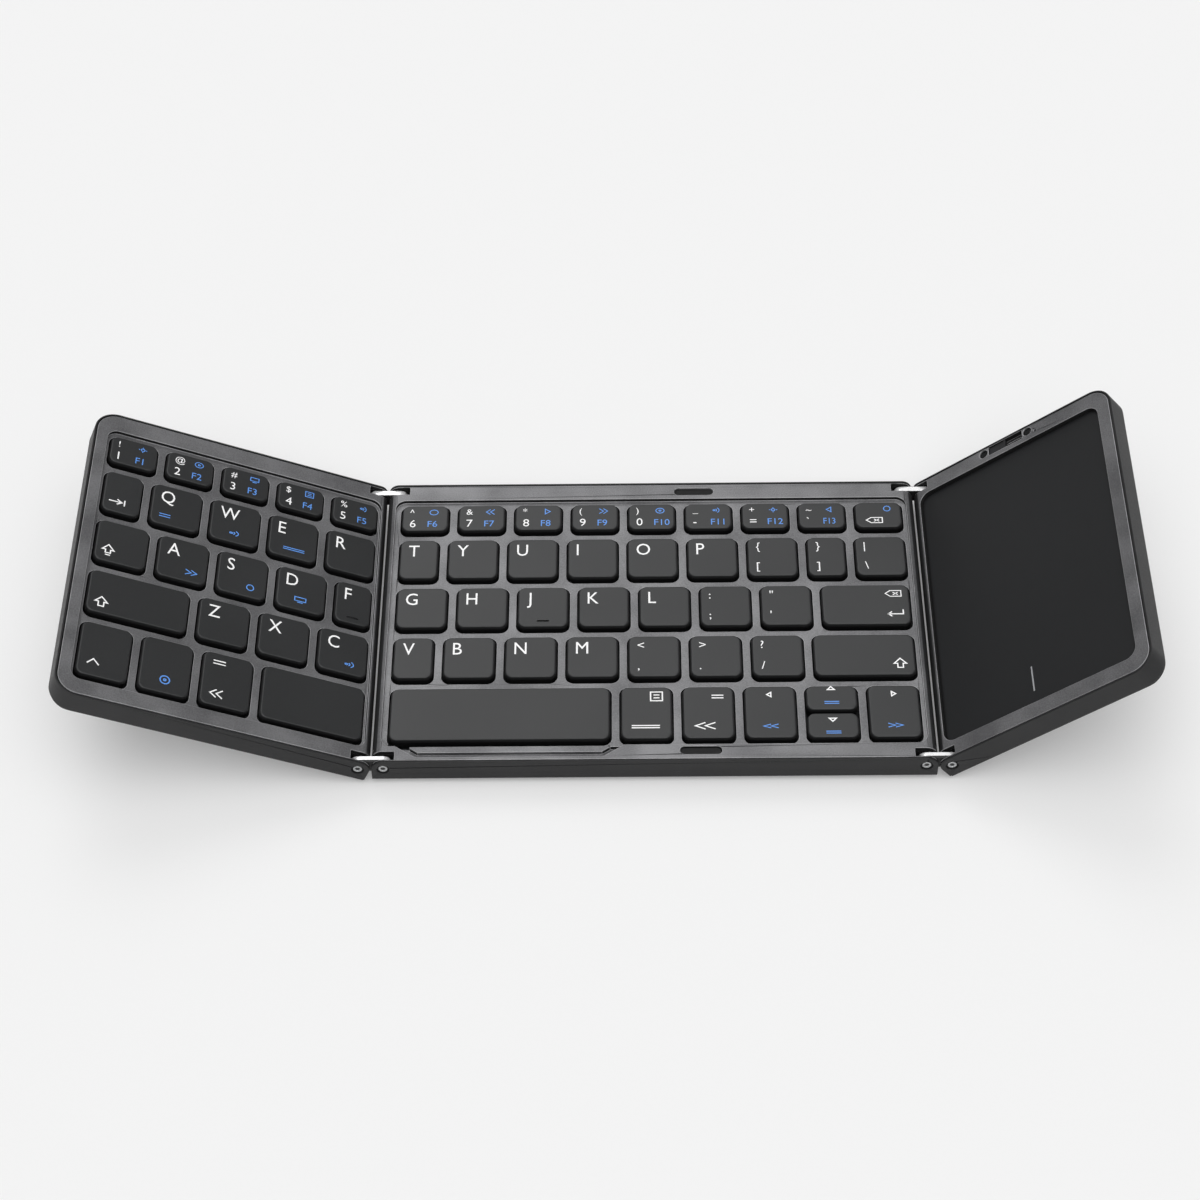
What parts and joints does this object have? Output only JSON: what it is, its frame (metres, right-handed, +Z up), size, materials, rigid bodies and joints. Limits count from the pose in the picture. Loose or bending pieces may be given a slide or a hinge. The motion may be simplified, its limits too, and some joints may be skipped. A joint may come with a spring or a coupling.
{
  "type": "folding keyboard",
  "caption": "Folding pocket keyboard: a centre panel of keys with a keyed wing on its left and a touch-surface wing on its right, each on double-pivot links.",
  "frame": {"origin": "centre of the underside of the centre panel's rubber rest pad, on the floor plane", "axes": "+X along the keyboard towards the touch surface, +Y towards its back, +Z up; the wings are stored tilted 23.1 and 39.1 degrees as pictured"},
  "size_m": [0.2904, 0.1004, 0.049],
  "materials": {
    "shell": "fine matte",
    "frame": "satin, fine grain",
    "steel": "plated",
    "rubber": "matte",
    "scissor_plastic": "moulded",
    "battery_foil": "foil",
    "circuit_board": "solder mask",
    "touch_surface": "fine matte",
    "lamp_lens": "polished",
    "switch_knob": "moulded",
    "link_metal": "polished",
    "keycap": "matte"
  },
  "bodies": {
    "base": {"base_tray": "shell", "base_frame": "frame", "base_plate": "steel", "base_domes": "rubber", "base_scissors": "scissor_plastic", "base_pins": "steel", "base_feet": "rubber", "base_magnets": "steel", "battery": "battery_foil", "base_board": "circuit_board"},
    "left_link": {"left_links": "link_metal"},
    "right_link": {"right_links": "link_metal"},
    "left_wing": {"left_tray": "shell", "left_frame": "frame", "left_plate": "steel", "left_domes": "rubber", "left_scissors": "scissor_plastic", "left_pins": "steel", "left_feet": "rubber"},
    "right_wing": {"right_tray": "shell", "right_frame": "frame", "touchpad": "touch_surface", "pad_board": "circuit_board", "right_pins": "steel", "right_feet": "rubber", "lenses": "lamp_lens", "charge_port": "steel"},
    "power_switch": {"power_switch": "switch_knob"},
    "key_q": {"key_q": "keycap"},
    "key_w": {"key_w": "keycap"},
    "key_e": {"key_e": "keycap"},
    "key_r": {"key_r": "keycap"},
    "key_a": {"key_a": "keycap"},
    "key_s": {"key_s": "keycap"},
    "key_d": {"key_d": "keycap"},
    "key_f": {"key_f": "keycap"},
    "key_z": {"key_z": "keycap"},
    "key_x": {"key_x": "keycap"},
    "key_c": {"key_c": "keycap"},
    "space_left": {"space_left": "keycap"},
    "number_keys_left": {"number_keys_left": "keycap"},
    "modifier_keys_left": {"modifier_keys_left": "keycap"},
    "key_t": {"key_t": "keycap"},
    "key_y": {"key_y": "keycap"},
    "key_u": {"key_u": "keycap"},
    "key_i": {"key_i": "keycap"},
    "key_o": {"key_o": "keycap"},
    "key_p": {"key_p": "keycap"},
    "key_g": {"key_g": "keycap"},
    "key_h": {"key_h": "keycap"},
    "key_j": {"key_j": "keycap"},
    "key_k": {"key_k": "keycap"},
    "key_l": {"key_l": "keycap"},
    "key_v": {"key_v": "keycap"},
    "key_b": {"key_b": "keycap"},
    "key_n": {"key_n": "keycap"},
    "key_m": {"key_m": "keycap"},
    "space_right": {"space_right": "keycap"},
    "number_keys_right": {"number_keys_right": "keycap"},
    "side_keys_right": {"side_keys_right": "keycap"}
  },
  "joints": [
    {"name": "left_link_fold", "type": "hinge", "parent": "base", "child": "left_link", "pos_m": [-0.0728, 0, 0.00605], "axis": [0, 1, 0], "range_deg": [0, 77.2]},
    {"name": "left_wing_fold", "type": "hinge", "parent": "left_link", "child": "left_wing", "pos_m": [-0.0796, 0, 0.00605], "axis": [0, 1, 0], "range_deg": [-23.1, 79.7]},
    {"name": "right_link_fold", "type": "hinge", "parent": "base", "child": "right_link", "pos_m": [0.0728, 0, 0.00605], "axis": [0, -1, 0], "range_deg": [0, 77.2]},
    {"name": "right_wing_fold", "type": "hinge", "parent": "right_link", "child": "right_wing", "pos_m": [0.0796, 0, 0.00605], "axis": [0, -1, 0], "range_deg": [-39.1, 63.7]},
    {"name": "power_switch_slide", "type": "slide", "parent": "right_wing", "child": "power_switch", "axis": [0.776, 0, 0.6307], "range_m": [0, 0.0056]},
    {"name": "key_q_press", "type": "slide", "parent": "left_wing", "child": "key_q", "axis": [-0.3923, 0, -0.9198], "range_m": [0, 0.0014], "stiffness_N_per_m": 150, "springref_m": -0.002},
    {"name": "key_w_press", "type": "slide", "parent": "left_wing", "child": "key_w", "axis": [-0.3923, 0, -0.9198], "range_m": [0, 0.0014], "stiffness_N_per_m": 150, "springref_m": -0.002},
    {"name": "key_e_press", "type": "slide", "parent": "left_wing", "child": "key_e", "axis": [-0.3923, 0, -0.9198], "range_m": [0, 0.0014], "stiffness_N_per_m": 150, "springref_m": -0.002},
    {"name": "key_r_press", "type": "slide", "parent": "left_wing", "child": "key_r", "axis": [-0.3923, 0, -0.9198], "range_m": [0, 0.0014], "stiffness_N_per_m": 150, "springref_m": -0.002},
    {"name": "key_a_press", "type": "slide", "parent": "left_wing", "child": "key_a", "axis": [-0.3923, 0, -0.9198], "range_m": [0, 0.0014], "stiffness_N_per_m": 150, "springref_m": -0.002},
    {"name": "key_s_press", "type": "slide", "parent": "left_wing", "child": "key_s", "axis": [-0.3923, 0, -0.9198], "range_m": [0, 0.0014], "stiffness_N_per_m": 150, "springref_m": -0.002},
    {"name": "key_d_press", "type": "slide", "parent": "left_wing", "child": "key_d", "axis": [-0.3923, 0, -0.9198], "range_m": [0, 0.0014], "stiffness_N_per_m": 150, "springref_m": -0.002},
    {"name": "key_f_press", "type": "slide", "parent": "left_wing", "child": "key_f", "axis": [-0.3923, 0, -0.9198], "range_m": [0, 0.0014], "stiffness_N_per_m": 150, "springref_m": -0.002},
    {"name": "key_z_press", "type": "slide", "parent": "left_wing", "child": "key_z", "axis": [-0.3923, 0, -0.9198], "range_m": [0, 0.0014], "stiffness_N_per_m": 150, "springref_m": -0.002},
    {"name": "key_x_press", "type": "slide", "parent": "left_wing", "child": "key_x", "axis": [-0.3923, 0, -0.9198], "range_m": [0, 0.0014], "stiffness_N_per_m": 150, "springref_m": -0.002},
    {"name": "key_c_press", "type": "slide", "parent": "left_wing", "child": "key_c", "axis": [-0.3923, 0, -0.9198], "range_m": [0, 0.0014], "stiffness_N_per_m": 150, "springref_m": -0.002},
    {"name": "space_left_press", "type": "slide", "parent": "left_wing", "child": "space_left", "axis": [-0.3923, 0, -0.9198], "range_m": [0, 0.0014], "stiffness_N_per_m": 150, "springref_m": -0.002},
    {"name": "number_keys_left_press", "type": "slide", "parent": "left_wing", "child": "number_keys_left", "axis": [-0.3923, 0, -0.9198], "range_m": [0, 0.0014], "stiffness_N_per_m": 300, "springref_m": -0.002},
    {"name": "modifier_keys_left_press", "type": "slide", "parent": "left_wing", "child": "modifier_keys_left", "axis": [-0.3923, 0, -0.9198], "range_m": [0, 0.0014], "stiffness_N_per_m": 300, "springref_m": -0.002},
    {"name": "key_t_press", "type": "slide", "parent": "base", "child": "key_t", "axis": [0, 0, -1], "range_m": [0, 0.0014], "stiffness_N_per_m": 150, "springref_m": -0.002},
    {"name": "key_y_press", "type": "slide", "parent": "base", "child": "key_y", "axis": [0, 0, -1], "range_m": [0, 0.0014], "stiffness_N_per_m": 150, "springref_m": -0.002},
    {"name": "key_u_press", "type": "slide", "parent": "base", "child": "key_u", "axis": [0, 0, -1], "range_m": [0, 0.0014], "stiffness_N_per_m": 150, "springref_m": -0.002},
    {"name": "key_i_press", "type": "slide", "parent": "base", "child": "key_i", "axis": [0, 0, -1], "range_m": [0, 0.0014], "stiffness_N_per_m": 150, "springref_m": -0.002},
    {"name": "key_o_press", "type": "slide", "parent": "base", "child": "key_o", "axis": [0, 0, -1], "range_m": [0, 0.0014], "stiffness_N_per_m": 150, "springref_m": -0.002},
    {"name": "key_p_press", "type": "slide", "parent": "base", "child": "key_p", "axis": [0, 0, -1], "range_m": [0, 0.0014], "stiffness_N_per_m": 150, "springref_m": -0.002},
    {"name": "key_g_press", "type": "slide", "parent": "base", "child": "key_g", "axis": [0, 0, -1], "range_m": [0, 0.0014], "stiffness_N_per_m": 150, "springref_m": -0.002},
    {"name": "key_h_press", "type": "slide", "parent": "base", "child": "key_h", "axis": [0, 0, -1], "range_m": [0, 0.0014], "stiffness_N_per_m": 150, "springref_m": -0.002},
    {"name": "key_j_press", "type": "slide", "parent": "base", "child": "key_j", "axis": [0, 0, -1], "range_m": [0, 0.0014], "stiffness_N_per_m": 150, "springref_m": -0.002},
    {"name": "key_k_press", "type": "slide", "parent": "base", "child": "key_k", "axis": [0, 0, -1], "range_m": [0, 0.0014], "stiffness_N_per_m": 150, "springref_m": -0.002},
    {"name": "key_l_press", "type": "slide", "parent": "base", "child": "key_l", "axis": [0, 0, -1], "range_m": [0, 0.0014], "stiffness_N_per_m": 150, "springref_m": -0.002},
    {"name": "key_v_press", "type": "slide", "parent": "base", "child": "key_v", "axis": [0, 0, -1], "range_m": [0, 0.0014], "stiffness_N_per_m": 150, "springref_m": -0.002},
    {"name": "key_b_press", "type": "slide", "parent": "base", "child": "key_b", "axis": [0, 0, -1], "range_m": [0, 0.0014], "stiffness_N_per_m": 150, "springref_m": -0.002},
    {"name": "key_n_press", "type": "slide", "parent": "base", "child": "key_n", "axis": [0, 0, -1], "range_m": [0, 0.0014], "stiffness_N_per_m": 150, "springref_m": -0.002},
    {"name": "key_m_press", "type": "slide", "parent": "base", "child": "key_m", "axis": [0, 0, -1], "range_m": [0, 0.0014], "stiffness_N_per_m": 150, "springref_m": -0.002},
    {"name": "space_right_press", "type": "slide", "parent": "base", "child": "space_right", "axis": [0, 0, -1], "range_m": [0, 0.0014], "stiffness_N_per_m": 150, "springref_m": -0.002},
    {"name": "number_keys_right_press", "type": "slide", "parent": "base", "child": "number_keys_right", "axis": [0, 0, -1], "range_m": [0, 0.0014], "stiffness_N_per_m": 300, "springref_m": -0.002},
    {"name": "side_keys_right_press", "type": "slide", "parent": "base", "child": "side_keys_right", "axis": [0, 0, -1], "range_m": [0, 0.0014], "stiffness_N_per_m": 300, "springref_m": -0.002}
  ]
}
